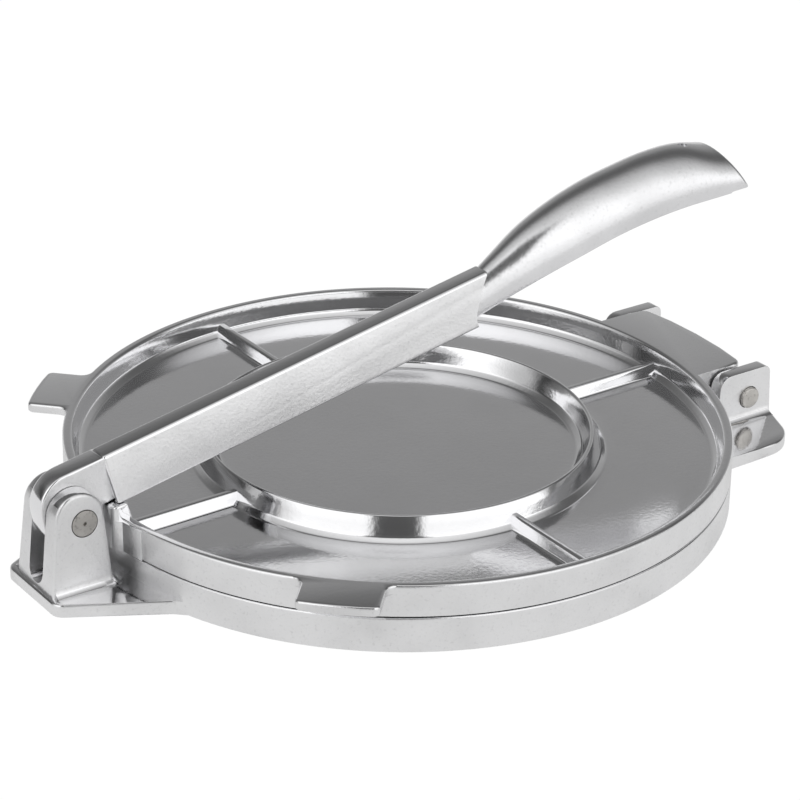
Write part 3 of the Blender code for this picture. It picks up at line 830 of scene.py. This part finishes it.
# %% Socket arithmetic
class Socket:
    """A shader node's output that Python can do sums with."""

    def __init__(self, tree, socket):
        self.tree, self.socket = tree, socket

    def maths(self, operation, *values):
        return node(self.tree, "ShaderNodeMath", {"operation": operation}, dict(enumerate(values)))

    def __add__(self, other):
        return self.maths("ADD", self, other)

    def __sub__(self, other):
        return self.maths("SUBTRACT", self, other)

    def __rsub__(self, other):
        return self.maths("SUBTRACT", other, self)

    def __mul__(self, other):
        return self.maths("MULTIPLY", self, other)

    def __truediv__(self, other):
        return self.maths("DIVIDE", self, other)

    __radd__ = __add__

    def clamped(self, low, high):
        """0 below low, 1 above high, smooth between."""
        settings = {"interpolation_type": "SMOOTHSTEP"}
        return node(self.tree, "ShaderNodeMapRange", settings, {0: self, 1: low, 2: high})


def node(tree, kind, settings=None, inputs=None, output=0):
    """Adds a node, sets it up, feeds its sockets and returns one of its outputs."""
    made = tree.nodes.new(kind)
    for name, value in (settings or {}).items():
        setattr(made, name, value)
    for name, value in (inputs or {}).items():
        if isinstance(value, Socket):
            tree.links.new(value.socket, made.inputs[name])
        else:
            made.inputs[name].default_value = value
    return Socket(tree, made.outputs[output])


# %% [markdown]
# ## Metals
# Bright cast aluminium: the pans are buffed, so they mirror the room softly, while the outer
# walls and the bar's flanks keep the fine sand of the mould under a light tumble polish. The
# grip is satin from use, and the pins are dull steel.

# %% Aluminium and steel
CLOUD_SCALE = 45.0


def metal(name, colour, roughness, spread, grain, grain_size, tint):
    """A metal whose polish wanders a little and whose surface has a fine grain."""
    made = bpy.data.materials.new(name)
    made.use_nodes = True
    tree = made.node_tree
    shader = tree.nodes["Principled BSDF"]
    shader.inputs["Metallic"].default_value = 1.0
    place = node(tree, "ShaderNodeTexCoord", output="Object")
    cloud_inputs = {"Vector": place, "Scale": CLOUD_SCALE, "Detail": 4.0}
    cloud = node(tree, "ShaderNodeTexNoise", inputs=cloud_inputs)
    speck_inputs = {"Vector": place, "Scale": 1 / grain_size, "Detail": 3.0}
    speck = node(tree, "ShaderNodeTexNoise", inputs=speck_inputs)
    shade = 1 - cloud.clamped(0.35, 0.75) * tint - speck.clamped(0.55, 0.8) * tint
    colours = {"Factor": shade, 6: (0.0, 0.0, 0.0, 1.0), 7: (*colour, 1.0)}
    mixed = node(tree, "ShaderNodeMix", {"data_type": "RGBA"}, colours, 2)
    tree.links.new(mixed.socket, shader.inputs["Base Color"])
    rough = roughness + (cloud - 0.5) * spread + (speck - 0.5) * spread
    tree.links.new(rough.socket, shader.inputs["Roughness"])
    relief = {"Height": speck, "Strength": grain, "Distance": grain_size / 4}
    bump = node(tree, "ShaderNodeBump", inputs=relief)
    tree.links.new(bump.socket, shader.inputs["Normal"])
    return made


buffed = metal("buffed_aluminium", (0.82, 0.82, 0.83), 0.10, 0.07, 0.06, 1.2 * MM, 0.03)
tumbled = metal("tumbled_aluminium", (0.80, 0.80, 0.805), 0.36, 0.16, 0.35, 0.9 * MM, 0.11)
satin = metal("satin_aluminium", (0.76, 0.76, 0.77), 0.205, 0.12, 0.10, 1.0 * MM, 0.10)
steel = metal("pin_steel", (0.64, 0.62, 0.59), 0.42, 0.20, 0.5, 0.9 * MM, 0.4)

# %% A metal for each face
BUFFED, TUMBLED, SATIN = range(3)
WALL_DEPTH = 0.5 * MM
WALL_UPRIGHT = 0.6
FLANK_ASIDE = 0.95
GRIP_FROM = 22 * MM


def finish(piece, pick):
    """Gives a piece the three metals, and each face the one that pick names."""
    piece.data.materials.clear()
    for material in (buffed, tumbled, satin):
        piece.data.materials.append(material)
    for face in piece.data.polygons:
        face.material_index = pick(face)


def plate_metal(face):
    """A plate is buffed, and tumbled outside its round wall."""
    outside = math.hypot(face.center.x - SHIFT, face.center.y) > PLATE_RADIUS - WALL_DEPTH
    return TUMBLED if outside and abs(face.normal.z) < WALL_UPRIGHT else BUFFED


def lever_metal(face):
    """The grip is satin, the bar's flanks are tumbled, and its top is buffed."""
    if face.center.x > GRIP_FROM:
        return SATIN
    return TUMBLED if abs(face.normal.y) > FLANK_ASIDE else BUFFED


finish(top, plate_metal)
finish(base, plate_metal)
finish(lever, lever_metal)
for pin in pins.values():
    pin.data.materials.clear()
    pin.data.materials.append(steel)

# %% Each piece rides on its body and stands for its CAD node
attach(top, "top_plate")
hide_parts("top_plate")
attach(base, "base")
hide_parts("base_plate")
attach(lever, "lever")
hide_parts("lever")
for node_name, pin in pins.items():
    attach(pin, "base")
    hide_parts(node_name)
    node_name + "_steel"

# %% [markdown]
# ## Floor and room
# Polished metal shows the room around it, so the room is what makes the picture. It is a plain
# white table, a back wall that darkens as it rises, a brighter ceiling, and the strongest soft
# light over the camera. The far left is dim, and a narrow dark screen stands behind the camera.
# The world's shader blends them by direction, without any edge.

# %% Floor
FLOOR_SIZE = 12
FLOOR_DROP = 0.05 * MM
activate(None)
bpy.ops.mesh.primitive_plane_add(size=FLOOR_SIZE, location=(0, 0, -FLOOR_DROP))
floor = bpy.context.object
floor.name = "floor"
white = bpy.data.materials.new("white_table")
white.use_nodes = True
tree = white.node_tree
tree.nodes.clear()
seen = node(tree, "ShaderNodeLightPath", output="Is Camera Ray")
mirrored = Socket(tree, seen.socket.node.outputs["Is Glossy Ray"])
through = Socket(tree, seen.socket.node.outputs["Is Transmission Ray"])
any_ray = seen.maths("MINIMUM", seen + mirrored + through, 1.0)
cloth = node(tree, "ShaderNodeBsdfDiffuse", inputs={"Color": (0.92, 0.92, 0.92, 1)})
light = seen * 0.16 + 0.86
glow = node(tree, "ShaderNodeEmission", inputs={"Color": (1, 1, 1, 1), "Strength": light})
blend = node(tree, "ShaderNodeMixShader", inputs={0: any_ray * 0.985, 1: cloth, 2: glow})
out = tree.nodes.new("ShaderNodeOutputMaterial")
tree.links.new(blend.socket, out.inputs[0])
floor.data.materials.append(white)

# %% [markdown]
# The table below gives the room's light by its angle over the press, in degrees: 0 is the
# horizon behind the press, 90 is overhead, and 180 is the horizon at the camera's side.

# %% Room
ROOM = (
    (-180, 1.0), (-90, 1.0), (-1, 1.0), (1, 0.78), (6, 0.56), (15, 0.46), (25, 0.41), (36, 0.24),
    (50, 0.15), (60, 0.17), (66, 0.24), (72, 0.42), (80, 0.66), (88, 0.82), (98, 1.0), (110, 1.35),
    (124, 1.75), (150, 1.75), (166, 1.45), (180, 1.35),
)
AWAY = (0.5736, 0.8192, 0.0)
RIGHT = (0.8192, -0.5736, 0.0)
LEFT_LIGHT = 0.4
SCREEN_DARK = 0.92
world = bpy.data.worlds.new("room")
bpy.context.scene.world = world
world.use_nodes = True
tree = world.node_tree
tree.nodes.clear()
ray = node(tree, "ShaderNodeTexCoord", output="Generated")
dot = {"operation": "DOT_PRODUCT"}
behind = node(tree, "ShaderNodeVectorMath", dot, {0: ray, 1: AWAY}, "Value")
right = node(tree, "ShaderNodeVectorMath", dot, {0: ray, 1: RIGHT}, "Value")
high = node(tree, "ShaderNodeSeparateXYZ", inputs={0: ray}, output=2)
turn = high.maths("ARCTAN2", high, behind)
sky = node(tree, "ShaderNodeValToRGB", inputs={0: turn / (2 * math.pi) + 0.5})
ramp = sky.socket.node.color_ramp
while len(ramp.elements) < len(ROOM):
    ramp.elements.new(1.0)
for element, (degrees, light) in zip(ramp.elements, ROOM):
    element.position = (degrees + 180) / 360
    element.color = (light, light, light, 1.0)
dark_side = right.clamped(-1.0, -0.75) * (1 - LEFT_LIGHT) + LEFT_LIGHT
sideways = right.maths("ABSOLUTE", right)
screen = (1 - sideways.clamped(0.17, 0.27)) * (1 - behind.clamped(-0.45, -0.25))
level = sky * dark_side * (1 - screen * SCREEN_DARK)
camera_ray = node(tree, "ShaderNodeLightPath", output="Is Camera Ray")
shown = level * (1 - camera_ray) + camera_ray
back = node(tree, "ShaderNodeBackground", inputs={"Strength": shown})
out = tree.nodes.new("ShaderNodeOutputWorld")
tree.links.new(back.socket, out.inputs[0])
bpy.context.scene.view_settings.view_transform = "Standard"

# %% Camera
CAMERA_PLACE = (-0.46496, -0.66589, 0.42391)
CAMERA_TURN = (64.0619, -0.8059, -34.6409)
FOCAL_LENGTH = 134.364
SENSOR_WIDTH = 36
NEAREST = 0.01
camera = bpy.data.objects.new("camera", bpy.data.cameras.new("camera"))
bpy.context.scene.collection.objects.link(camera)
camera.location = CAMERA_PLACE
camera.rotation_euler = [math.radians(angle) for angle in CAMERA_TURN]
camera.data.lens = FOCAL_LENGTH
camera.data.sensor_width = SENSOR_WIDTH
camera.data.clip_start = NEAREST
bpy.context.scene.camera = camera

# %% Finish
bpy.context.view_layer.update()
